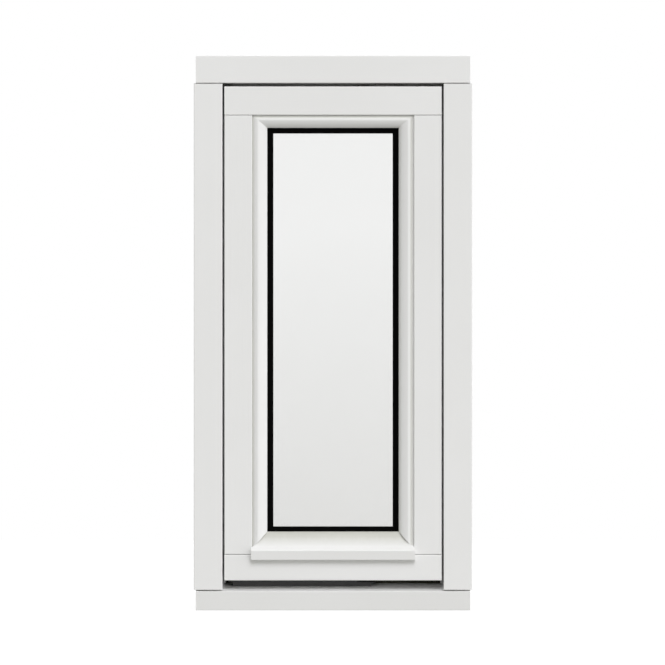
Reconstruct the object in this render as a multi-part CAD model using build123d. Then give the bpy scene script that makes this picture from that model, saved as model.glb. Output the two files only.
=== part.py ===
# Side-hung timber window with double glazing, shown closed.
# X runs to the right seen from outside, Y into the room, Z up.
# The origin is the middle of the flat underside of the sill.

from build123d import *
import os

# Frame, over its outer faces
frame_height = 990.0
frame_depth = 115.0
jamb_outer_x = 248.5
head_and_sill_half_length = 245.0
jamb_face_width = 51.0
stop_projection = 14.0
head_face_height = 48.6
sill_face_height = 33.8
sill_rise_to_stop = 12.3
sill_undercut = 2.4
sill_stop_height = 66.0
head_joint_quirk = (1.3, 9.0)
sill_joint_quirk = (2.9, 12.0)

# Opening sash
sash_half_width = 194.0
sash_bottom = 53.2
sash_top = 935.3
sash_thickness = 57.0
sash_setback = 2.0
stile_face_width = 49.5
bottom_rail_face_height = 46.0
top_rail_face_height = 51.0

# Glazing
sightline_half_width = 117.5
sightline_bottom = 140.2
sightline_top = 861.7
glass_cover = 7.9
glass_edge_clearance = 4.0
pane_thickness = 4.0
pane_space = 16.0
glazing_seal_thickness = 3.0
outer_seal_opening = (106.65, 149.35, 851.75)
outer_seal_edge = 1.0
inner_seal_lip = 1.5
spacer_opening = (108.2, 148.0, 853.2)
upstand_thickness = 13.0
ovolo_radius = 8.0
ovolo_quirk = 1.2

# Side and top glazing beads, measured from the sightline and from the seal
bead_lip = 2.5
bead_ridge_offset = 17.0
bead_ridge_height = 13.0
bead_flank_height = 8.5
bead_inner_radius = 30.0
bead_flank_radius = 22.0
bead_ridge_round = 5.0

# Bottom glazing bead, which sheds the water
bottom_bead_half_width = 146.6
bottom_bead_front = -65.5
bottom_bead_underside = 89.9
bottom_bead_undercut = 0.7
bottom_bead_nose_height = 107.5
bottom_bead_hollow_radius = 48.0
bottom_bead_nose_round = 3.5
drip_groove_radius = 1.5
drip_groove_setback = 4.0
bead_knee = (135.9, 119.0)

# Weather seal between sash and frame
frame_seal_width = 7.0
bottom_seal_width = 16.7
frame_seal_margin = 1.5
frame_seal_round = 1.5

# Handle on the room side of the closing stile
handle_x = 155.0
handle_height = 495.0
handle_plate_size = (30.0, 70.0, 9.0)
handle_collar_radius = 11.0
handle_collar_length = 5.0
handle_neck_radius = 8.0
handle_neck_length = 21.0
handle_grip_length = 112.0
handle_grip_radii = (11.5, 8.5)
handle_grip_thickness = 9.5

# Friction stays in the gaps over and under the sash
stay_width = 18.0
stay_middle_y = -10.0
stay_hinge_end = -188.0
stay_bar_lengths = (205.0, 235.0, 265.0)
stay_packer_top = 46.6

# Holes for adjustable fixing sleeves through the jambs
fixing_hole_radius = 7.0
fixing_hole_heights = (150.0, 840.0)

# Small shapes
arris = 1.5
soft_arris = 1.0
joint_quirk_width = 0.8
joint_quirk_depth = 4.0
lining_groove_width = 10.0
lining_groove_depth = 8.0
lining_groove_margin = 12.0
sill_drip_width = 6.0
sill_drip_depth = 5.0
sill_drip_setback = 8.0
setting_block_length = 60.0
setting_block_x = 62.0
beyond = 20.0

# Depths worked out from the front of the frame inwards
frame_front = -frame_depth / 2
frame_room = frame_depth / 2
sash_front = frame_front + sash_setback
sash_back = sash_front + sash_thickness
glass_inner_seat = sash_back - upstand_thickness
inner_pane_back = glass_inner_seat - glazing_seal_thickness
inner_pane_front = inner_pane_back - pane_thickness
outer_pane_back = inner_pane_front - pane_space
outer_pane_front = outer_pane_back - pane_thickness
bead_seat = outer_pane_front - glazing_seal_thickness
stop_face = sash_back + 3.5

# Heights and widths worked out from the members
head_underside = frame_height - head_face_height
head_stop_edge = head_underside - stop_projection
sill_at_stop = sill_face_height + sill_rise_to_stop
rebate_half_width = jamb_outer_x - jamb_face_width
stop_half_width = rebate_half_width - stop_projection
bead_outer_x = sash_half_width - stile_face_width
bottom_rail_top = sash_bottom + bottom_rail_face_height
top_rail_bottom = sash_top - top_rail_face_height
glass_half_width = sightline_half_width + glass_cover
glass_bottom = sightline_bottom - glass_cover
glass_top = sightline_top + glass_cover
rebate_width = glass_cover + glass_edge_clearance
sightline = (sightline_half_width, sightline_bottom, sightline_top)


def straight_section(points, rounds=()):
    """Section with straight sides; rounds pairs a corner with its radius."""
    shape = make_face(Polyline(*points, close=True))
    for corner, radius in rounds:
        vertex = shape.vertices().sort_by_distance((*corner, 0))[0]
        shape = fillet(vertex, radius)
    return shape


def along_x(section, half_length):
    """A length lying across the window, from a section drawn in depth and height."""
    return extrude(Plane.YZ * section, half_length, both=True)


def along_z(section, bottom, top):
    """An upright length, from a section drawn in width and depth."""
    return extrude(Plane.XY.offset(bottom) * section, top - bottom)


def elevation_prism(points, front, back):
    """A prism whose outline is drawn in the elevation, between two depths."""
    return extrude(Plane.XZ.offset(-back) * make_face(Polyline(*points, close=True)), back - front)


def mirrored(piece):
    """The same piece on the other side of the window's centre line."""
    return mirror(piece, about=Plane.YZ)


def rectangle_prism(rectangle, front, back):
    """A prism over a centred upright rectangle, given as half width, bottom and top."""
    half_width, bottom, top = rectangle
    corners = [(-half_width, bottom), (half_width, bottom), (half_width, top), (-half_width, top)]
    return elevation_prism(corners, front, back)


def without_repeats(points):
    """Drops a point that equals the one before it."""
    kept = []
    for point in points:
        if not kept or max(abs(point[0] - kept[-1][0]), abs(point[1] - kept[-1][1])) > 1e-6:
            kept.append(point)
    return kept


def ring_outlines(opening, side_width, bottom_width, top_width):
    """Elevation outlines of four lengths round an opening, mitred from its corners."""
    half_width, bottom, top = opening
    low = min(side_width, bottom_width)
    high = min(side_width, top_width)
    right = without_repeats(
        [
            (half_width, bottom),
            (half_width + low, bottom - low),
            (half_width + side_width, bottom - low),
            (half_width + side_width, top + high),
            (half_width + high, top + high),
            (half_width, top),
        ]
    )
    lower = without_repeats(
        [
            (half_width, bottom),
            (half_width + low, bottom - low),
            (half_width + low, bottom - bottom_width),
        ]
    )
    upper = without_repeats(
        [
            (half_width, top),
            (half_width + high, top + high),
            (half_width + high, top + top_width),
        ]
    )
    return {
        "right": right,
        "left": [(-x, z) for x, z in right],
        "bottom": lower + [(-x, z) for x, z in reversed(lower)],
        "top": upper + [(-x, z) for x, z in reversed(upper)],
    }


def side_planes(opening, depth):
    """Drawing planes on an opening's edges: first axis away from it, second outdoors."""
    half_width, bottom, top = opening
    middle = (bottom + top) / 2
    return {
        "right": Plane((half_width, depth, middle), x_dir=(1, 0, 0), z_dir=(0, 0, -1)),
        "left": Plane((-half_width, depth, middle), x_dir=(-1, 0, 0), z_dir=(0, 0, 1)),
        "top": Plane((0, depth, top), x_dir=(0, 0, 1), z_dir=(1, 0, 0)),
        "bottom": Plane((0, depth, bottom), x_dir=(0, 0, -1), z_dir=(-1, 0, 0)),
    }


def mitred_length(section, opening, side, outline, depth):
    """A run of one section along a side of an opening, cut to its elevation outline."""
    run = extrude(side_planes(opening, depth)[side] * section, frame_height, both=True)
    return run & elevation_prism(outline, frame_front - beyond, frame_room + beyond)


def flat_ring(opening, side_width, bottom_width, top_width, front, back):
    """Four flat lengths round an opening, between two depths."""
    outlines = ring_outlines(opening, side_width, bottom_width, top_width)
    return {side: elevation_prism(outline, front, back) for side, outline in outlines.items()}


def lining_groove():
    """Groove round the room face that takes the tongue of a window lining."""
    half_width = stop_half_width + lining_groove_margin
    bottom = sill_stop_height - lining_groove_margin
    top = head_stop_edge + lining_groove_margin
    width = lining_groove_width
    outer = (half_width + width, bottom - width, top + width)
    groove = rectangle_prism(outer, frame_room - lining_groove_depth, frame_room + beyond)
    core = rectangle_prism((half_width, bottom, top), frame_room - beyond, frame_room + beyond)
    return groove - core


def sill_surface(depth):
    """Height of the sill's slope at a depth."""
    return sill_face_height + sill_rise_to_stop * (depth - frame_front) / (stop_face - frame_front)


def frame_head():
    section = straight_section(
        [
            (frame_front, head_underside),
            (stop_face, head_underside),
            (stop_face, head_stop_edge),
            (frame_room, head_stop_edge),
            (frame_room, frame_height),
            (frame_front, frame_height),
        ],
        [
            ((frame_front, head_underside), arris),
            ((stop_face, head_stop_edge), arris),
            ((frame_room, head_stop_edge), arris),
            ((frame_room, frame_height), soft_arris),
            ((frame_front, frame_height), soft_arris),
        ],
    )
    return along_x(section, head_and_sill_half_length) - lining_groove()


def frame_sill():
    section = straight_section(
        [
            (frame_front + sill_undercut, 0),
            (frame_room, 0),
            (frame_room, sill_stop_height),
            (stop_face, sill_stop_height),
            (stop_face, sill_at_stop),
            (frame_front, sill_face_height),
        ],
        [
            ((frame_front + sill_undercut, 0), soft_arris),
            ((frame_room, 0), soft_arris),
            ((frame_room, sill_stop_height), arris),
            ((stop_face, sill_stop_height), arris),
            ((frame_front, sill_face_height), soft_arris),
        ],
    )
    drip_middle = frame_front + sill_drip_setback + sill_drip_width / 2
    drip = Pos(drip_middle, 0) * Rectangle(sill_drip_width, 2 * sill_drip_depth)
    return along_x(section - drip, head_and_sill_half_length) - lining_groove()


def right_jamb():
    """Rebated upright, scribed to the sill and the head, with a quirk in each outer joint."""
    section = straight_section(
        [
            (rebate_half_width, frame_front),
            (jamb_outer_x, frame_front),
            (jamb_outer_x, frame_room),
            (stop_half_width, frame_room),
            (stop_half_width, stop_face),
            (rebate_half_width, stop_face),
        ],
        [
            ((rebate_half_width, frame_front), arris),
            ((jamb_outer_x, frame_front), arris),
            ((jamb_outer_x, frame_room), soft_arris),
            ((stop_half_width, frame_room), arris),
            ((stop_half_width, stop_face), arris),
        ],
    )
    sill_quirk_width, sill_quirk_depth = sill_joint_quirk
    head_quirk_width, head_quirk_depth = head_joint_quirk
    front = frame_front - beyond
    sill_quirk_back = frame_front + sill_quirk_depth
    head_quirk_back = frame_front + head_quirk_depth
    ends = straight_section(
        [
            (front, sill_surface(front) + sill_quirk_width),
            (sill_quirk_back, sill_surface(sill_quirk_back) + sill_quirk_width),
            (sill_quirk_back, sill_surface(sill_quirk_back)),
            (stop_face, sill_at_stop),
            (stop_face, sill_stop_height),
            (frame_room + beyond, sill_stop_height),
            (frame_room + beyond, head_stop_edge),
            (stop_face, head_stop_edge),
            (stop_face, head_underside),
            (head_quirk_back, head_underside),
            (head_quirk_back, head_underside - head_quirk_width),
            (front, head_underside - head_quirk_width),
        ]
    )
    jamb = along_z(section, 0, frame_height) & along_x(ends, jamb_outer_x + beyond)
    hole_y = (stop_face + frame_room) / 2
    for height in fixing_hole_heights:
        hole = Cylinder(fixing_hole_radius, 4 * jamb_outer_x, rotation=(0, 90, 0))
        jamb -= Pos(0, hole_y, height) * hole
    return jamb - lining_groove()


def seal_section(width):
    thickness = stop_face - sash_back
    return straight_section(
        [(0, 0), (width, 0), (width, thickness), (0, thickness)],
        [((0, thickness), frame_seal_round), ((width, thickness), frame_seal_round)],
    )


def frame_seals():
    """Rubber weather seal on the stop, pressed by the back of the sash."""
    opening = (
        stop_half_width + frame_seal_margin,
        sill_stop_height - 2 * frame_seal_margin,
        head_stop_edge + frame_seal_margin / 4,
    )
    widths = {
        "right": frame_seal_width,
        "left": frame_seal_width,
        "bottom": bottom_seal_width,
        "top": frame_seal_width,
    }
    outlines = ring_outlines(opening, widths["right"], widths["bottom"], widths["top"])
    return {
        side: mitred_length(seal_section(widths[side]), opening, side, outline, stop_face)
        for side, outline in outlines.items()
    }


def glazing_section(width):
    """Stepped inner part of a sash member: glass rebate, upstand and room-side ovolo."""
    quirk_depth = ovolo_quirk
    start = (0, ovolo_radius + quirk_depth)
    arc_start = (ovolo_quirk, ovolo_radius + quirk_depth)
    arc_end = (ovolo_quirk + ovolo_radius, quirk_depth)
    outer_end = (ovolo_quirk + ovolo_radius, 0)
    seat = sash_back - bead_seat
    edges = [
        Line(start, arc_start),
        RadiusArc(arc_start, arc_end, ovolo_radius),
        Line(arc_end, outer_end),
        Polyline(
            outer_end,
            (width, 0),
            (width, seat),
            (rebate_width, seat),
            (rebate_width, upstand_thickness),
            (0, upstand_thickness),
            start,
        ),
    ]
    return make_face(edges)


def sash_inner_parts():
    """The stepped and moulded inner parts of the four sash members."""
    widths = {
        "right": bead_outer_x - sightline_half_width,
        "left": bead_outer_x - sightline_half_width,
        "bottom": sightline_bottom - bottom_rail_top,
        "top": top_rail_bottom - sightline_top,
    }
    outlines = ring_outlines(sightline, widths["right"], widths["bottom"], widths["top"])
    return {
        side: mitred_length(glazing_section(widths[side]), sightline, side, outline, sash_back)
        for side, outline in outlines.items()
    }


def sash_rail(bottom, top, joint_edge, inner_part):
    """Rail across the whole sash; joint_edge is the height where the stiles meet it."""
    far_edge = bottom if joint_edge == top else top
    section = straight_section(
        [(sash_front, bottom), (sash_back, bottom), (sash_back, top), (sash_front, top)],
        [
            ((sash_front, far_edge), arris),
            ((sash_back, far_edge), arris),
            ((sash_front, joint_edge), arris),
        ],
    )
    return along_x(section, sash_half_width) + inner_part


def right_stile(inner_part):
    """Stile between the rails, with a fine quirk across the face at each joint."""
    section = straight_section(
        [
            (bead_outer_x, sash_front),
            (sash_half_width, sash_front),
            (sash_half_width, sash_back),
            (bead_outer_x, sash_back),
        ],
        [
            ((bead_outer_x, sash_front), arris),
            ((sash_half_width, sash_front), arris),
            ((sash_half_width, sash_back), arris),
        ],
    )
    quirk_back = sash_front + joint_quirk_depth
    face_low = bottom_rail_top + joint_quirk_width
    face_high = top_rail_bottom - joint_quirk_width
    side_view = straight_section(
        [
            (sash_front, face_low),
            (quirk_back, face_low),
            (quirk_back, bottom_rail_top),
            (sash_back, bottom_rail_top),
            (sash_back, top_rail_bottom),
            (quirk_back, top_rail_bottom),
            (quirk_back, face_high),
            (sash_front, face_high),
        ],
        [((sash_front, face_low), soft_arris), ((sash_front, face_high), soft_arris)],
    )
    stile = along_z(section, bottom_rail_top, top_rail_bottom)
    return (stile & along_x(side_view, sash_half_width)) + inner_part


def bead_section(width):
    """Moulded bead: lip at the glass, full curve up to the ridge, steeper flank outside.

    A narrower bead has the same moulding squeezed to its width, so that the mitres meet.
    """
    side_width = bead_outer_x - sightline_half_width
    squeeze = width / side_width
    lip = (0, bead_lip)
    ridge = (bead_ridge_offset, bead_ridge_height)
    flank = (side_width, bead_flank_height)
    arcs = [
        RadiusArc(lip, ridge, bead_inner_radius),
        RadiusArc(ridge, flank, bead_flank_radius),
    ]
    edges = [Line((0, 0), lip), Polyline((width, bead_flank_height), (width, 0), (0, 0))]
    for arc in arcs:
        start, middle, end = [(point.X * squeeze, point.Y) for point in (arc @ 0, arc @ 0.5, arc @ 1)]
        edges.append(ThreePointArc(start, middle, end))
    shape = make_face(edges)
    ridge_corner = (bead_ridge_offset * squeeze, bead_ridge_height, 0)
    vertex = shape.vertices().sort_by_distance(ridge_corner)[0]
    return fillet(vertex, bead_ridge_round)


def moulded_beads():
    """Side and top beads, mitred at the top and scribed to the bottom bead."""
    side_width = bead_outer_x - sightline_half_width
    top_width = top_rail_bottom - sightline_top
    top_mitre = [(sightline_half_width, sightline_top), (bead_outer_x, top_rail_bottom)]
    foot = [
        (bead_outer_x, sightline_bottom - side_width),
        bead_knee,
        (sightline_half_width, sightline_bottom),
    ]
    top = top_mitre + [(-x, z) for x, z in reversed(top_mitre)]
    side_section = bead_section(side_width)
    right = mitred_length(side_section, sightline, "right", top_mitre + foot, bead_seat)
    return {
        "right": right,
        "left": mirrored(right),
        "top": mitred_length(bead_section(top_width), sightline, "top", top, bead_seat),
    }


def bottom_bead():
    """Deep sloping bead that laps over the bottom rail, with a drip under its nose."""
    nose = (bottom_bead_front, bottom_bead_nose_height)
    foot = (bottom_bead_front + bottom_bead_undercut, bottom_bead_underside)
    lip = (bead_seat - bead_lip, sightline_bottom)
    edges = [
        Line((bead_seat, sightline_bottom), lip),
        RadiusArc(lip, nose, bottom_bead_hollow_radius),
        Polyline(
            nose,
            foot,
            (sash_front, bottom_bead_underside),
            (sash_front, bottom_rail_top),
            (bead_seat, bottom_rail_top),
            (bead_seat, sightline_bottom),
        ),
    ]
    shape = make_face(edges)
    for corner, radius in ((nose, bottom_bead_nose_round), (foot, soft_arris)):
        vertex = shape.vertices().sort_by_distance((*corner, 0))[0]
        shape = fillet(vertex, radius)
    drip_y = sash_front - drip_groove_setback
    shape -= Pos(drip_y, bottom_bead_underside) * Circle(drip_groove_radius)
    run = along_x(shape, bottom_bead_half_width)
    side_width = bead_outer_x - sightline_half_width
    mitre = [
        (sightline_half_width, sightline_bottom),
        bead_knee,
        (bead_outer_x, sightline_bottom - side_width),
    ]
    lap = bottom_bead_half_width - bead_outer_x
    seated = mitre + [(bead_outer_x, bottom_bead_underside - beyond)]
    proud = mitre + [
        (bottom_bead_half_width, sightline_bottom - side_width - lap),
        (bottom_bead_half_width, bottom_bead_underside - beyond),
    ]
    depths = ((seated, sash_front, frame_room), (proud, bottom_bead_front - beyond, sash_front))
    pieces = []
    for outline, front, back in depths:
        whole = outline + [(-x, z) for x, z in reversed(outline)]
        pieces.append(run & elevation_prism(whole, front, back))
    return pieces[0] + pieces[1]


def glass_pane(front, back):
    return rectangle_prism((glass_half_width, glass_bottom, glass_top), front, back)


def outer_seal_section(lip, width):
    """Flat under the bead, then a broad lip that thins towards its edge on the glass."""
    return straight_section(
        [
            (0, 0),
            (width, 0),
            (width, glazing_seal_thickness),
            (lip, glazing_seal_thickness),
            (0, outer_seal_edge),
        ]
    )


def outer_glazing_seals():
    """Rubber seal between the outer pane and the beads, with a broad lip on the glass."""
    half_width, bottom, top = outer_seal_opening
    lips = {
        "right": sightline_half_width - half_width,
        "left": sightline_half_width - half_width,
        "bottom": bottom - sightline_bottom,
        "top": sightline_top - top,
    }
    widths = {side: lip + glass_cover for side, lip in lips.items()}
    outlines = ring_outlines(outer_seal_opening, widths["right"], widths["bottom"], widths["top"])
    lengths = {}
    for side, outline in outlines.items():
        section = outer_seal_section(lips[side], widths[side])
        run = mitred_length(section, outer_seal_opening, side, outline, outer_pane_front)
        lengths[side] = run
    return lengths


def inner_glazing_seals():
    """Flat rubber seal between the inner pane and the sash."""
    lip = inner_seal_lip
    opening = (sightline_half_width - lip, sightline_bottom + lip, sightline_top - lip)
    width = glass_cover + lip
    return flat_ring(opening, width, width, width, inner_pane_back, glass_inner_seat)


def spacers():
    """Spacer bars with their edge sealant between the panes."""
    half_width, bottom, top = spacer_opening
    widths = (glass_half_width - half_width, bottom - glass_bottom, glass_top - top)
    return flat_ring(spacer_opening, *widths, outer_pane_back, inner_pane_front)


def setting_block(x):
    block = Box(setting_block_length, inner_pane_back - outer_pane_front, glass_edge_clearance)
    middle_y = (inner_pane_back + outer_pane_front) / 2
    return Pos(x, middle_y, glass_bottom - glass_edge_clearance / 2) * block


def handle_plate():
    """Base plate with rounded ends and the collar that the lever turns in."""
    width, height, thickness = handle_plate_size
    plane = Plane((handle_x, sash_back, handle_height), x_dir=(1, 0, 0), z_dir=(0, 1, 0))
    plate = extrude(plane * RectangleRounded(width, height, width / 2 - arris), thickness)
    rim = plate.faces().sort_by(Axis.Y)[-1].edges()
    plate = fillet(rim, 2 * arris)
    collar = extrude(plane.offset(thickness) * Circle(handle_collar_radius), handle_collar_length)
    return plate + collar


def handle_lever():
    """Neck and tapering grip, hanging down along the stile when the sash is locked."""
    start = sash_back + handle_plate_size[2] + handle_collar_length
    top_radius, end_radius = handle_grip_radii
    plane = Plane((handle_x, start, handle_height), x_dir=(1, 0, 0), z_dir=(0, 1, 0))
    neck = extrude(plane * Circle(handle_neck_radius), handle_neck_length + arris)
    grip_outline = make_hull(
        [
            *Circle(top_radius).edges(),
            *(Pos(0, handle_grip_length) * Circle(end_radius)).edges(),
        ]
    )
    grip = extrude(plane.offset(handle_neck_length) * grip_outline, handle_grip_thickness)
    rims = grip.faces().filter_by(Axis.Y).edges()
    return neck + fillet(rims, 2 * arris)


def stay(levels):
    """Closed friction stay: flat bars of growing length, riveted in a stack."""
    stack = None
    for length, low, high in zip(stay_bar_lengths, levels[:-1], levels[1:]):
        middle = stay_hinge_end + length / 2
        outline = Pos(middle, stay_middle_y) * SlotOverall(length, stay_width)
        bar = extrude(Plane.XY.offset(low) * outline, high - low)
        stack = bar if stack is None else stack + bar
    return stack


def even_levels(low, high):
    step = (high - low) / len(stay_bar_lengths)
    return [low + step * number for number in range(len(stay_bar_lengths) + 1)]


def stay_top():
    return stay(even_levels(sash_top, head_underside))


def stay_bottom():
    """The lower stay stands on a packer cut to the slope of the sill."""
    levels = list(reversed(even_levels(stay_packer_top, sash_bottom)))
    stack = stay(levels)
    front = stay_middle_y - stay_width / 2
    back = stay_middle_y + stay_width / 2
    packer_section = straight_section(
        [
            (front, sill_surface(front)),
            (back, sill_surface(back)),
            (back, stay_packer_top),
            (front, stay_packer_top),
        ]
    )
    length = stay_bar_lengths[-1] - stay_width
    middle = stay_hinge_end + stay_bar_lengths[-1] / 2
    return stack + Pos(middle, 0, 0) * along_x(packer_section, length / 2)


def all_nodes():
    """Every piece of the window under its own name."""
    jamb = right_jamb()
    inner = sash_inner_parts()
    stile = right_stile(inner["right"])
    beads = moulded_beads()
    nodes = {
        "frame_head": frame_head(),
        "frame_sill": frame_sill(),
        "frame_jamb_right": jamb,
        "frame_jamb_left": mirrored(jamb),
        "sash_bottom_rail": sash_rail(
            sash_bottom, bottom_rail_top, bottom_rail_top, inner["bottom"]
        ),
        "sash_top_rail": sash_rail(top_rail_bottom, sash_top, top_rail_bottom, inner["top"]),
        "sash_stile_right": stile,
        "sash_stile_left": mirrored(stile),
        "bead_bottom": bottom_bead(),
        "glass_outer": glass_pane(outer_pane_front, outer_pane_back),
        "glass_inner": glass_pane(inner_pane_front, inner_pane_back),
        "setting_block_left": setting_block(-setting_block_x),
        "setting_block_right": setting_block(setting_block_x),
        "handle_plate": handle_plate(),
        "handle_lever": handle_lever(),
        "friction_stay_top": stay_top(),
        "friction_stay_bottom": stay_bottom(),
    }
    rings = {
        "bead": beads,
        "frame_seal": frame_seals(),
        "outer_glazing_seal": outer_glazing_seals(),
        "inner_glazing_seal": inner_glazing_seals(),
        "spacer": spacers(),
    }
    for name, lengths in rings.items():
        for side, piece in lengths.items():
            nodes[f"{name}_{side}"] = piece
    return nodes


os.makedirs("parts", exist_ok=True)
for node, piece in all_nodes().items():
    export_step(piece, f"parts/{node}.step")
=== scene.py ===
# Finishes, small fittings, light and camera for a white side-hung timber window.
# Metres, in the frame's own axes: X right seen from outside, Y into the room, Z up.

import math

import bmesh
import bpy
from mathutils import Matrix, Vector


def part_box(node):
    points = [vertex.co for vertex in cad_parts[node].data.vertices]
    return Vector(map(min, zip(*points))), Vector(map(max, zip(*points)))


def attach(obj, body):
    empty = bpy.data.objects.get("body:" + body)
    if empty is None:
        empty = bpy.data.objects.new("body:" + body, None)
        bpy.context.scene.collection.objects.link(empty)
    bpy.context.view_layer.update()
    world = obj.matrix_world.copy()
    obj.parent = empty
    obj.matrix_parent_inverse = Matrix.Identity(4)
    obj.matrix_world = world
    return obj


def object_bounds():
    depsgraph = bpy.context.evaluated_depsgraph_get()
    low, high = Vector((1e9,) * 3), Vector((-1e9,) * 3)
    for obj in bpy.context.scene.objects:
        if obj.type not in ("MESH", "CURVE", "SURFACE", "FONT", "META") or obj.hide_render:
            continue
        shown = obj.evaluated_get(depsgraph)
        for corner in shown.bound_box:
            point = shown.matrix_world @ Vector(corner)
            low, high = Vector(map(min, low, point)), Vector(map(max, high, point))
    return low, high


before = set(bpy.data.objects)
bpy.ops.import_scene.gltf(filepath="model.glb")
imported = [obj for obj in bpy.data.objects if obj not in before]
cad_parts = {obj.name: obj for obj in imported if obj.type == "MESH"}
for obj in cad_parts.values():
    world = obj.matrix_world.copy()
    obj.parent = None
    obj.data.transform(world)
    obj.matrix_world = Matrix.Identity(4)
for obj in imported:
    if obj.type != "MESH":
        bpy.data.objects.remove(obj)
cad_box = [list(corner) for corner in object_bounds()]
MM = 0.001


def grey(level, warmth=1.0):
    """A grey whose blue is the given share of its red and green."""
    return (level, level, level * warmth, 1)


# Camera, square to the outside face
EYE_DISTANCE = 12.0
EYE_REACH = 100.0
PIXEL = 1.784 * MM
VIEW_WIDTH = 665 * PIXEL
VIEW_CENTRE_X = -0.9 * MM
VIEW_CENTRE_Z = 496.0 * MM
SENSOR_WIDTH = 36.0

# Light: for each lamp the way to it, its width in degrees, its strength and its tint
ROOM_LIGHT = 0.36
ROOM_TINT = (1.0, 0.998, 0.93, 1)
LIGHTS = {
    "key_light": ((0.14, -0.68, 0.70), 36, 1.73, (1.0, 1.0, 1.03)),
    "side_light": ((0.90, -0.42, 0.10), 85, 1.08, (1.0, 1.0, 1.01)),
    "back_light": ((-0.50, 0.82, 0.24), 110, 1.48, (1.0, 1.0, 1.02)),
}
WHITE = grey(1.0)
FLOOR_SIZE = 8.0
FLOOR_ALBEDO = 0.20
FLOOR_GLOW = 0.86
FLOOR_DROP = 0.5 * MM

# Colours, in pairs where a finish varies between two
WHITE_PAINT = (grey(0.830, 0.995), grey(0.842, 0.997))
OPEN_GRAIN = grey(0.70, 0.95)
# Grey blended into the paint where it is darkened: painted shade in the beads' hollows and
# beside the glass, and even films on the sill and bottom bead
SHADE_AND_FILM_GREY = grey(0.55, 0.92)
WEATHERED_RUBBER = (grey(0.05, 0.75), grey(0.07, 0.75))
BLACK_RUBBER = (grey(0.0008, 0.9), grey(0.0018, 0.9))
SPACER_BLACK = (grey(0.006), grey(0.012))
BLOCK_GREY = (grey(0.10), grey(0.14))
CAP_WHITE = (grey(0.78, 0.985), grey(0.83, 0.985))
SATIN_CHROME = (grey(0.44, 0.95), grey(0.52, 0.95))
STAY_COATING = (grey(0.032), grey(0.052))
# Painted light: the top stay is coated far lighter than the bottom one, so the shaded gap
# under the head reads lighter
PAINTED_LIGHT_COATING = (grey(0.36), grey(0.44))
ZINC = (grey(0.50, 0.98), grey(0.62, 0.97))
# The glass's tint, and the darker tint that paints a reflection gradient in towards the
# sill
GLASS_TINT = (0.972, 0.973, 0.971, 1)
GLASS_PAINTED_DARKER = (0.930, 0.930, 0.926, 1)

# Fineness of the textures, in repeats a metre
WOOD_GRAIN = 380.0
GROWTH_RINGS = 95.0
PAINT_SPRAY = 850.0
PAINT_SHEEN = 55.0
PAINT_TONE = 6.0
FILM_STREAKS = 130.0
RUBBER_SPECKS = 1800.0
RUBBER_SHEEN = 90.0
PLASTIC_SPECKS = 1400.0
CAP_FLOW = 300.0
CAP_SPECKS = 1600.0
GLASS_CLOUDS = 9.0
METAL_BRUSHING = 2600.0
METAL_HANDLING = 45.0

# Depth of the textures
PAINT_RELIEF = 0.06 * MM
RUBBER_RELIEF = 0.05 * MM
PLASTIC_RELIEF = 0.04 * MM
CAP_RELIEF = 0.02 * MM
BRUSHED_RELIEF = 0.02 * MM

# Glass: how far the painted darkening's upper end wanders, and its mirror seen head-on
CLOUD_REACH = 60 * MM
HEAD_ON_MIRROR = 0.04

# Middle of the tree's rings, off the window's own axes
PITH_OFFSET = (31 * MM, 83 * MM, -47 * MM)

# Fixings through the jambs, and the screws of the handle plate
FIXING_HEIGHTS = (150 * MM, 840 * MM)
FIXING_DEPTH = 31.25 * MM
HANDLE_PLATE_THICKNESS = 9 * MM
HANDLE_SCREW_OFFSET = 23.5 * MM
SHARP_ANGLE = math.radians(35)


class Value:
    """A socket of a node tree. Arithmetic on it adds Math nodes."""

    def __init__(self, shading, socket):
        self.shading = shading
        self.socket = socket

    def math(self, operation, *values):
        settings = {"operation": operation}
        return self.shading.node("ShaderNodeMath", settings, dict(enumerate(values)))

    def __add__(self, other):
        return self.math("ADD", self, other)

    def __radd__(self, other):
        return self.math("ADD", other, self)

    def __sub__(self, other):
        return self.math("SUBTRACT", self, other)

    def __rsub__(self, other):
        return self.math("SUBTRACT", other, self)

    def __mul__(self, other):
        return self.math("MULTIPLY", self, other)

    def __rmul__(self, other):
        return self.math("MULTIPLY", other, self)

    def size(self):
        return self.math("ABSOLUTE", self)

    def at_least(self, other):
        return self.math("MAXIMUM", self, other)

    def power(self, exponent):
        return self.math("POWER", self, exponent)

    def rising(self, low, high, curve="SMOOTHSTEP"):
        """0 up to low, 1 from high on."""
        settings = {"interpolation_type": curve}
        limits = {"Value": self, "From Min": low, "From Max": high}
        return self.shading.node("ShaderNodeMapRange", settings, limits)


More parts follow.
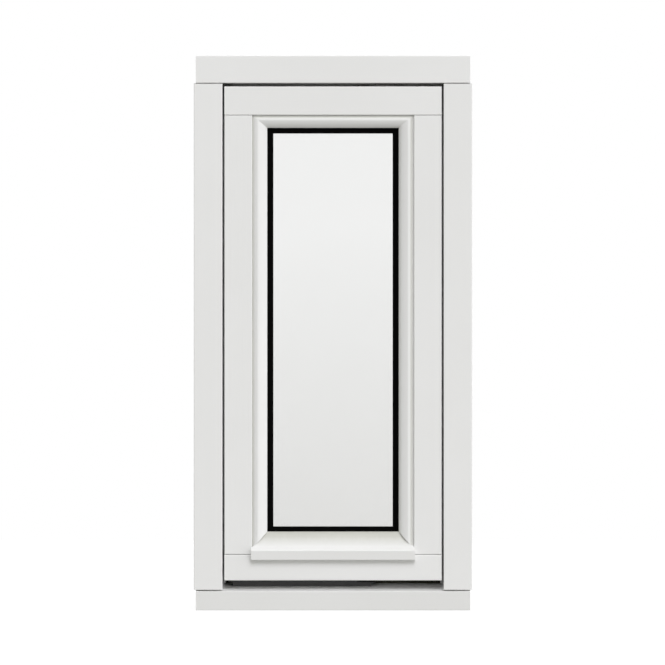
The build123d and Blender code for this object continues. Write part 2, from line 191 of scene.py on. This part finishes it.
class Shading:
    """The node tree of a material or of the world."""

    def __init__(self, owner, output="ShaderNodeOutputMaterial"):
        owner.use_nodes = True
        self.owner = owner
        self.tree = owner.node_tree
        self.tree.nodes.clear()
        self.output = self.tree.nodes.new(output)

    def node(self, kind, settings=None, sockets=None, out=0):
        """Adds a node: its settings, then numbers, colours or links for its sockets."""
        made = self.tree.nodes.new(kind)
        for name, setting in (settings or {}).items():
            setattr(made, name, setting)
        for name, value in (sockets or {}).items():
            if isinstance(value, Value):
                self.tree.links.new(value.socket, made.inputs[name])
            else:
                made.inputs[name].default_value = value
        return Value(self, made.outputs[out])

    def outputs(self, value, *names):
        """Named outputs of the node that a value comes from."""
        return [Value(self, value.socket.node.outputs[name]) for name in names]

    def place(self):
        """The point on the window, in metres."""
        return self.node("ShaderNodeTexCoord", out="Object")

    def facing(self):
        """The way the surface faces, before any bump."""
        return self.node("ShaderNodeNewGeometry", out="True Normal")

    def own_number(self):
        """A number from 0 to 1 that is each piece's own."""
        return self.node("ShaderNodeObjectInfo", out="Random")

    def parts(self, vector):
        """The X, Y and Z of a vector."""
        split = self.node("ShaderNodeSeparateXYZ", sockets={"Vector": vector})
        return self.outputs(split, "X", "Y", "Z")

    def stretched(self, vector, factors):
        settings = {"operation": "MULTIPLY"}
        return self.node("ShaderNodeVectorMath", settings, {0: vector, 1: factors})

    def moved(self, vector, step):
        settings = {"operation": "ADD"}
        return self.node("ShaderNodeVectorMath", settings, {0: vector, 1: step})

    def noise(self, vector, scale, detail=2.0, roughness=0.5, turn=0.0):
        sockets = {
            "Vector": vector,
            "W": turn,
            "Scale": scale,
            "Detail": detail,
            "Roughness": roughness,
        }
        return self.node("ShaderNodeTexNoise", {"noise_dimensions": "4D"}, sockets)

    def between(self, factor, first, second):
        """A colour between two colours."""
        sockets = {"Factor": factor, 6: first, 7: second}
        return self.node("ShaderNodeMix", {"data_type": "RGBA"}, sockets, out=2)

    def bump(self, height, depth):
        sockets = {"Height": height, "Distance": depth}
        return self.node("ShaderNodeBump", sockets=sockets)

    def principled(self, **sockets):
        named = {name.replace("_", " "): value for name, value in sockets.items()}
        return self.node("ShaderNodeBsdfPrincipled", sockets=named)

    def mixed(self, factor, first, second):
        """A shader between two shaders."""
        sockets = {0: factor, 1: first, 2: second}
        return self.node("ShaderNodeMixShader", sockets=sockets)

    def finished(self, shader):
        self.tree.links.new(shader.socket, self.output.inputs["Surface"])
        return self.owner


def drawn_out(along, factor):
    """Factors that draw a texture out along one axis, further the smaller they are."""
    return tuple(factor if axis == along else 1.0 for axis in "XYZ")


def painted_timber(name, along, shade_and_film=None):
    """Satin white paint on planed softwood, whose grain runs along X or Z.

    The last argument gives, from 0 to 1, where a grey film darkens the paint: painted
    shade in the beads' hollows and beside the glass, and even films.
    """
    shading = Shading(bpy.data.materials.new(name))
    place = shading.place()
    own = shading.own_number() * 20.0
    fibres = shading.stretched(place, drawn_out(along, 0.03))
    grain = shading.noise(fibres, WOOD_GRAIN, detail=3.0, roughness=0.6, turn=own)
    spray = shading.noise(place, PAINT_SPRAY)
    pith = shading.moved(place, PITH_OFFSET)
    rings = shading.node(
        "ShaderNodeTexWave",
        {"wave_type": "RINGS", "rings_direction": along, "wave_profile": "SAW"},
        {"Vector": pith, "Scale": GROWTH_RINGS, "Distortion": 1.2, "Detail": 2.0},
        out=1,
    )
    x_part, _, z_part = shading.parts(shading.facing())
    end_grain = (x_part if along == "X" else z_part).size().rising(0.85, 0.97)
    relief = (1 - end_grain) * grain * 2.0 + end_grain * rings * 0.9 + spray * 0.5
    patches = shading.noise(place, PAINT_TONE, detail=3.0, turn=own)
    colour = shading.between(patches.rising(0.35, 0.65), *WHITE_PAINT)
    colour = shading.between(end_grain * rings * 0.35, colour, OPEN_GRAIN)
    # Painted shade and even darker films: the grey is blended in where the last argument
    # says, streaked a little
    if shade_and_film:
        film = shade_and_film(*shading.parts(place))
        runs = shading.stretched(place, drawn_out("Z", 0.15))
        streaks = shading.noise(runs, FILM_STREAKS, detail=3.0, roughness=0.6)
        colour = shading.between(film * (0.85 + 0.3 * streaks), colour, SHADE_AND_FILM_GREY)
    sheen = shading.noise(place, PAINT_SHEEN, detail=3.0, roughness=0.6, turn=own)
    return shading.finished(
        shading.principled(
            Base_Color=colour,
            Roughness=0.34 + 0.14 * sheen,
            Specular_IOR_Level=0.4,
            Normal=shading.bump(relief, PAINT_RELIEF),
        )
    )


def side_bead_painted_shade(inner_x, outer_x):
    """Painted shade on the side beads: in the hollow by the stiles, and by the glass on
    the right.
    """

    def film(x, y, z):
        by_left_stile = (0 - x).rising(outer_x - 6.5 * MM, outer_x)
        by_right_stile = x.rising(outer_x - 9 * MM, outer_x - 4.5 * MM)
        # The painted shade is eased right at the right stile's edge
        unshaded_edge = x.rising(outer_x - 4 * MM, outer_x)
        from_glass = x.rising(0, inner_x - MM)
        clear_of_glass = x.rising(inner_x, inner_x + 6.5 * MM)
        stiles = 0.8 * by_left_stile + 0.66 * (by_right_stile - unshaded_edge)
        return stiles + 0.55 * (from_glass - clear_of_glass)

    return film


def top_bead_painted_shade(lower_z, upper_z):
    """Painted shade in the moulding of the top bead, and along the glass where it faces
    down.
    """

    def film(x, y, z):
        in_hollow = z.rising(upper_z - 8 * MM, upper_z - 4 * MM)
        by_rail = z.rising(upper_z - 3.2 * MM, upper_z - 1.2 * MM)
        by_glass = 1 - z.rising(lower_z, lower_z + 5 * MM)
        return 0.75 * in_hollow - 0.5 * by_rail + 0.4 * by_glass

    return film


def sloping_bead_film_and_shade(upper_z):
    """Darkens the bottom bead a little all over, and more up the slope: painted shade
    where it meets the glass.
    """

    def film(x, y, z):
        up_the_slope = z.rising(upper_z - 26 * MM, upper_z - 9 * MM, curve="LINEAR")
        return 0.1 + 0.9 * up_the_slope

    return film


def even_sill_film(x, y, z):
    """Darkens the whole sill evenly, a little."""
    return 0.08


def black_rubber(name, colours):
    shading = Shading(bpy.data.materials.new(name))
    place = shading.place()
    specks = shading.noise(place, RUBBER_SPECKS, roughness=0.6)
    return shading.finished(
        shading.principled(
            Base_Color=shading.between(specks, *colours),
            Roughness=0.62 + 0.2 * shading.noise(place, RUBBER_SHEEN),
            Specular_IOR_Level=0.02,
            Normal=shading.bump(specks, RUBBER_RELIEF),
        )
    )


def matt_plastic(name, colours):
    shading = Shading(bpy.data.materials.new(name))
    specks = shading.noise(shading.place(), PLASTIC_SPECKS, roughness=0.6)
    return shading.finished(
        shading.principled(
            Base_Color=shading.between(specks, *colours),
            Roughness=0.55 + 0.25 * specks,
            Specular_IOR_Level=0.3,
            Normal=shading.bump(specks, PLASTIC_RELIEF),
        )
    )


def moulded_cap_plastic():
    shading = Shading(bpy.data.materials.new("moulded_cap_plastic"))
    place = shading.place()
    flow = shading.noise(place, CAP_FLOW, detail=3.0, roughness=0.6)
    return shading.finished(
        shading.principled(
            Base_Color=shading.between(flow, *CAP_WHITE),
            Roughness=0.3 + 0.15 * flow,
            Normal=shading.bump(shading.noise(place, CAP_SPECKS), CAP_RELIEF),
        )
    )


def pane_glass(low_edge, high_edge):
    """Clear float glass, darkened towards the sill as a painted reflection gradient."""
    shading = Shading(bpy.data.materials.new("pane_glass"))
    place = shading.place()
    height = shading.parts(place)[2]
    cloud = (shading.noise(place, GLASS_CLOUDS) - 0.5) * CLOUD_REACH
    darkening_top = 0.25 * low_edge + 0.75 * high_edge
    film = 1 - (height + cloud).rising(low_edge, darkening_top, curve="LINEAR")
    lighter_tint = shading.node("ShaderNodeBsdfTransparent", sockets={"Color": GLASS_TINT})
    darker_tint = shading.node("ShaderNodeBsdfTransparent", sockets={"Color": GLASS_PAINTED_DARKER})
    see_through = shading.mixed(film, lighter_tint, darker_tint)
    shine = shading.node("ShaderNodeBsdfGlossy", sockets={"Roughness": 0.0})
    slant = shading.node("ShaderNodeLayerWeight", sockets={"Blend": 0.5}, out="Facing")
    mirror = HEAD_ON_MIRROR + (1 - HEAD_ON_MIRROR) * slant.power(5.0)
    return shading.finished(shading.mixed(mirror, see_through, shine))


def brushed_metal(name, brushed_along, colours, roughness, bare=1.0):
    """Metal brushed one way, with the duller patches that hands leave.

    bare is 1 for bare or plated metal and lower under a coating.
    """
    shading = Shading(bpy.data.materials.new(name))
    place = shading.place()
    strokes = shading.stretched(place, brushed_along)
    brush = shading.noise(strokes, METAL_BRUSHING, detail=3.0, roughness=0.6)
    handling = shading.noise(place, METAL_HANDLING).rising(0.4, 0.65)
    return shading.finished(
        shading.principled(
            Base_Color=shading.between(brush, *colours),
            Metallic=bare,
            Roughness=roughness + 0.12 * brush + 0.06 * handling,
            Normal=shading.bump(brush, BRUSHED_RELIEF),
        )
    )


def coated_steel(name, colours, roughness):
    """The steel of a friction stay, brushed along it and coated."""
    return brushed_metal(name, drawn_out("X", 0.05), colours, roughness, bare=0.15)


def dress(node, material):
    """Gives a node's object one material."""
    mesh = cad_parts[node].data
    mesh.materials.clear()
    mesh.materials.append(material)


def dress_the_window():
    """Gives each node the finish of the first kind that its name holds."""
    bead_low, bead_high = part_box("bead_left")
    top_low, top_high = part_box("bead_top")
    glass_low, glass_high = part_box("glass_outer")
    side_bead_shade = side_bead_painted_shade(-bead_high[0], -bead_low[0])
    top_bead_shade = top_bead_painted_shade(top_low[2], top_high[2])
    slope_film_and_shade = sloping_bead_film_and_shade(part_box("bead_bottom")[1][2])
    across = painted_timber("painted_timber_across", "X")
    upright = painted_timber("painted_timber_upright", "Z")
    side_bead = painted_timber("painted_side_bead", "Z", side_bead_shade)
    upright_brushing = drawn_out("Z", 0.06)
    finishes = {
        "bead_left": side_bead,
        "bead_right": side_bead,
        "bead_top": painted_timber("painted_top_bead", "X", top_bead_shade),
        "bead_bottom": painted_timber("painted_bottom_bead", "X", slope_film_and_shade),
        "frame_sill": painted_timber("painted_sill", "X", even_sill_film),
        "jamb": upright,
        "stile": upright,
        "frame_seal": black_rubber("weathered_rubber", WEATHERED_RUBBER),
        "seal": black_rubber("black_rubber", BLACK_RUBBER),
        "spacer": matt_plastic("spacer_plastic", SPACER_BLACK),
        "setting_block": matt_plastic("setting_block_plastic", BLOCK_GREY),
        "glass": pane_glass(glass_low[2], glass_high[2]),
        "handle": brushed_metal("satin_chrome", upright_brushing, SATIN_CHROME, 0.26),
        "friction_stay_bottom": coated_steel("coated_steel", STAY_COATING, 0.42),
        # The top stay's far lighter coating is painted light in the shaded head gap
        "friction_stay_top": coated_steel("painted_light_coated_steel", PAINTED_LIGHT_COATING, 0.6),
    }
    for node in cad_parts:
        named = [finish for kind, finish in finishes.items() if kind in node]
        dress(node, named[0] if named else across)


def turns(count):
    """Equal steps round a full turn, in radians."""
    return [2 * math.pi * number / count for number in range(count)]


def ring_at(count, radius, height, waves=0, wave_height=0.0):
    """Corners of a level ring, in mm; waves gives it that many lobes."""
    corners = []
    for angle in turns(count):
        reach = radius * MM * (1 + wave_height * math.cos(waves * angle))
        corners.append((reach * math.cos(angle), reach * math.sin(angle), height * MM))
    return corners


def cross_at(arm, width, height):
    """Corners of a level cross, in mm, with arms of one length and half width."""
    corners = []
    for quarter in range(4):
        turn = 1j**quarter
        for point in (complex(arm, -width), complex(arm, width), complex(width, width)):
            corner = turn * point * MM
            corners.append((corner.real, corner.imag, height * MM))
    return corners


def skinned(piece, rings):
    """Skins rings of equally many corners, from the first to the last."""
    loops = [[piece.verts.new(corner) for corner in ring] for ring in rings]
    for lower, upper in zip(loops, loops[1:]):
        for number, corner in enumerate(lower):
            after = (number + 1) % len(lower)
            piece.faces.new((corner, lower[after], upper[after], upper[number]))
    return loops


def finished_mesh(name, piece, material):
    """A mesh of one material, smooth but for its sharp edges."""
    bmesh.ops.recalc_face_normals(piece, faces=piece.faces[:])
    mesh = bpy.data.meshes.new(name)
    piece.to_mesh(mesh)
    piece.free()
    mesh.shade_smooth()
    mesh.set_sharp_from_angle(angle=SHARP_ANGLE)
    mesh.materials.append(material)
    return mesh


def turned_piece(name, rings, material):
    """A closed piece skinned over its rings."""
    piece = bmesh.new()
    loops = skinned(piece, rings)
    piece.faces.new(loops[-1])
    piece.faces.new(list(reversed(loops[0])))
    return finished_mesh(name, piece, material)


def cover_cap(material):
    """Domed cap with a thin flange and a stem that plugs the fixing hole."""
    profile = [
        (6.2, -7.0),
        (6.6, -6.6),
        (6.7, 0.0),
        (8.6, 0.0),
        (8.8, 0.25),
        (8.6, 0.6),
        (7.8, 0.95),
        (6.0, 1.35),
        (3.5, 1.65),
        (1.0, 1.75),
    ]
    rings = [ring_at(64, radius, height) for radius, height in profile]
    return turned_piece("cover_cap", rings, material)


def fixing_sleeve(material):
    """Adjustable steel sleeve, just inside the outer face, with a lobed key bore."""
    outside = [(5.6, -30.0), (6.8, -29.0), (6.8, -2.6), (6.4, -2.0), (5.3, -2.0)]
    bore = [(4.7, -2.4), (4.7, -11.0)]
    rings = [ring_at(72, radius, height) for radius, height in outside]
    for radius, height in bore:
        rings.append(ring_at(72, radius, height, waves=6, wave_height=0.09))
    return turned_piece("fixing_sleeve", rings, material)


def cross_screw(material):
    """Raised countersunk screw head with a cross recess."""
    piece = bmesh.new()
    head = [(4.1, 0.0), (4.2, 0.15), (4.0, 0.5), (3.4, 0.8), (2.7, 0.95)]
    outside = skinned(piece, [ring_at(48, radius, height) for radius, height in head])
    recess = [(2.0, 0.42, 0.95), (1.85, 0.36, 0.75), (1.3, 0.25, 0.18)]
    inside = skinned(piece, [cross_at(*step) for step in recess])
    piece.faces.new(inside[-1])
    piece.faces.new(list(reversed(outside[0])))
    rim = [edge for edge in piece.edges if edge.is_boundary]
    bmesh.ops.triangle_fill(piece, edges=rim, use_beauty=True)
    return finished_mesh("cross_screw", piece, material)


def placed(name, data):
    """A new object in the scene."""
    made = bpy.data.objects.new(name, data)
    bpy.context.scene.collection.objects.link(made)
    return made


def fitted(name, mesh, place, outward):
    """Puts a piece with its Z axis along outward, riding on the window."""
    piece = placed(name, mesh)
    turn = Vector(outward).to_track_quat("Z", "Y").to_matrix().to_4x4()
    piece.matrix_world = Matrix.Translation(place) @ turn
    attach(piece, "root")


def jamb_fittings():
    """A cover cap and a sleeve at each of the four fixings."""
    zinc = brushed_metal("zinc_plate", (1, 1, 1), ZINC, 0.34)
    cap = cover_cap(moulded_cap_plastic())
    sleeve = fixing_sleeve(zinc)
    low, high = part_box("frame_jamb_right")
    for side, hand in ((-1, "left"), (1, "right")):
        for number, height in enumerate(FIXING_HEIGHTS, 1):
            inner = (side * low[0], FIXING_DEPTH, height)
            outer = (side * high[0], FIXING_DEPTH, height)
            name = f"cover_cap_{hand}_{number}"
            fitted(name, cap, inner, (-side, 0, 0))
            name = f"fixing_sleeve_{hand}_{number}"
            fitted(name, sleeve, outer, (side, 0, 0))


def handle_screws():
    """The two screws of the handle plate, in the handle's own finish."""
    low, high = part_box("handle_plate")
    middle_x = (low[0] + high[0]) / 2
    middle_z = (low[2] + high[2]) / 2
    screw = cross_screw(bpy.data.materials["satin_chrome"])
    for number, offset in enumerate((-HANDLE_SCREW_OFFSET, HANDLE_SCREW_OFFSET), 1):
        place = (middle_x, low[1] + HANDLE_PLATE_THICKNESS, middle_z + offset)
        fitted(f"handle_screw_{number}", screw, place, (0, 1, 0))


def studio_world():
    """Even light from all round; the camera, gloss and glass see plain white."""
    world = bpy.data.worlds.new("studio")
    bpy.context.scene.world = world
    shading = Shading(world, "ShaderNodeOutputWorld")
    camera_ray = shading.node("ShaderNodeLightPath", out="Is Camera Ray")
    kinds = ("Is Glossy Ray", "Is Transmission Ray")
    glossy_ray, through_ray = shading.outputs(camera_ray, *kinds)
    seen = camera_ray.at_least(glossy_ray).at_least(through_ray)
    room = {"Color": ROOM_TINT, "Strength": ROOM_LIGHT}
    light = shading.node("ShaderNodeBackground", sockets=room)
    plain = {"Color": WHITE, "Strength": 1.0}
    backdrop = shading.node("ShaderNodeBackground", sockets=plain)
    shading.finished(shading.mixed(seen, light, backdrop))


def studio_floor():
    """White sheet that shows the window's shadow from above and nothing from below."""
    shading = Shading(bpy.data.materials.new("studio_floor"))
    camera_ray = shading.node("ShaderNodeLightPath", out="Is Camera Ray")
    underside = shading.node("ShaderNodeNewGeometry", out="Backfacing")
    matt = shading.node("ShaderNodeBsdfDiffuse", sockets={"Color": grey(FLOOR_ALBEDO)})
    glow = {"Color": WHITE, "Strength": FLOOR_GLOW}
    white = shading.node("ShaderNodeEmission", sockets=glow)
    seen = shading.node("ShaderNodeAddShader", sockets={0: matt, 1: white})
    clear = shading.node("ShaderNodeBsdfTransparent")
    shader = shading.mixed(camera_ray * (1 - underside), clear, seen)
    sheet = bmesh.new()
    bmesh.ops.create_grid(sheet, x_segments=1, y_segments=1, size=FLOOR_SIZE / 2)
    mesh = bpy.data.meshes.new("floor")
    sheet.to_mesh(mesh)
    sheet.free()
    mesh.materials.append(shading.finished(shader))
    floor = placed("floor", mesh)
    floor.location.z = -FLOOR_DROP


def soft_light(name, direction, spread, strength, tint):
    """Even light from a wide patch in one direction; spread is in degrees."""
    lamp = bpy.data.lights.new(name, "SUN")
    lamp.color = tint
    lamp.angle = math.radians(spread)
    lamp.energy = strength
    light = placed(name, lamp)
    light.rotation_euler = Vector(direction).to_track_quat("Z", "Y").to_euler()


def camera():
    lens = bpy.data.cameras.new("camera")
    lens.sensor_width = SENSOR_WIDTH
    lens.lens = SENSOR_WIDTH * EYE_DISTANCE / VIEW_WIDTH
    lens.clip_end = EYE_REACH
    eye = placed("camera", lens)
    eye.location = (VIEW_CENTRE_X, cad_box[0][1] - EYE_DISTANCE, VIEW_CENTRE_Z)
    eye.rotation_euler = (math.pi / 2, 0, 0)
    bpy.context.scene.camera = eye


dress_the_window()
jamb_fittings()
handle_screws()
studio_world()
studio_floor()
for name, light in LIGHTS.items():
    soft_light(name, *light)
camera()
bpy.context.scene.view_settings.view_transform = "Standard"
